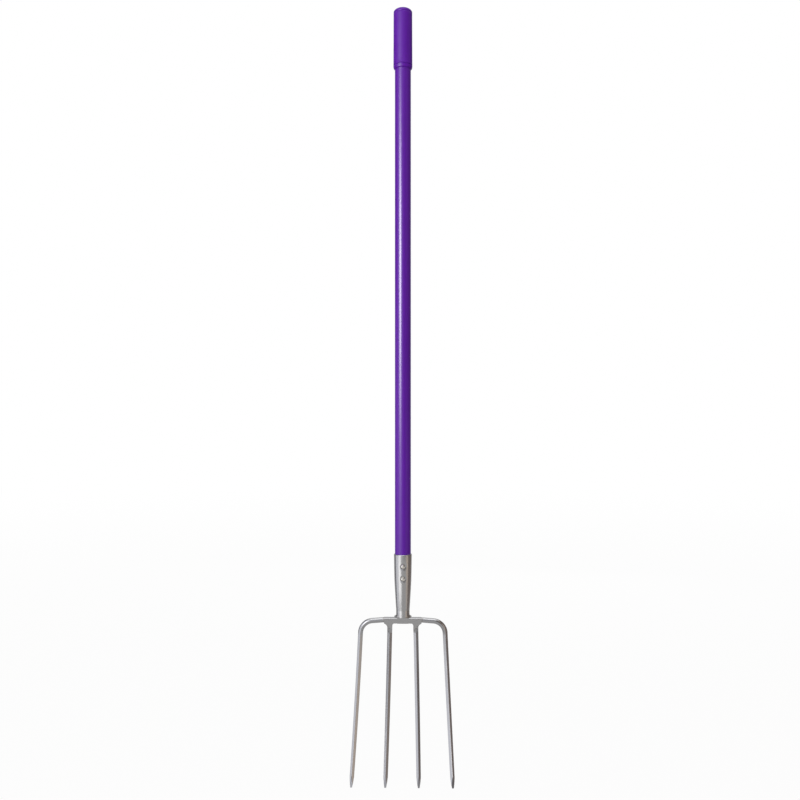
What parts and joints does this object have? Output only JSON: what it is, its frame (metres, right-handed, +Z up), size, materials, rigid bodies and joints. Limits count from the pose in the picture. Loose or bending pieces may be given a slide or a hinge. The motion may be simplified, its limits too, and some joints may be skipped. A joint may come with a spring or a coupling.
{
  "type": "manure fork",
  "caption": "Long manure fork: dished, pointed steel tines on a flat bar, a tapered socket riveted to a purple tubular shaft, and a moulded cap grip at the top.",
  "frame": {"origin": "bottom centre of the fork's box, at the height of the tine tips", "axes": "+Z up along the shaft towards the grip, -Y towards the front, where the tines' tips come forward, +X to the right of a viewer in front"},
  "size_m": [0.202, 0.1016, 1.5251],
  "materials": {
    "satin_purple_plastic": "satin moulded",
    "gloss_purple_coat": "glossy coating on steel tube",
    "core_wood": "raw, hidden",
    "satin_steel": "satin, forged and polished",
    "weld_steel": "dressed weld",
    "rivet_steel": "satin"
  },
  "bodies": {
    "root": {"grip": "satin_purple_plastic", "shaft": "gloss_purple_coat", "shaft_core": "core_wood", "socket": "satin_steel", "upper_rivet": "rivet_steel", "lower_rivet": "rivet_steel", "crosspiece": "satin_steel", "foot_weld": "weld_steel", "outer_weld_left": "weld_steel", "outer_weld_right": "weld_steel", "outer_tine_left": "satin_steel", "outer_tine_right": "satin_steel", "inner_tine_left": "satin_steel", "inner_tine_right": "satin_steel"}
  },
  "joints": []
}
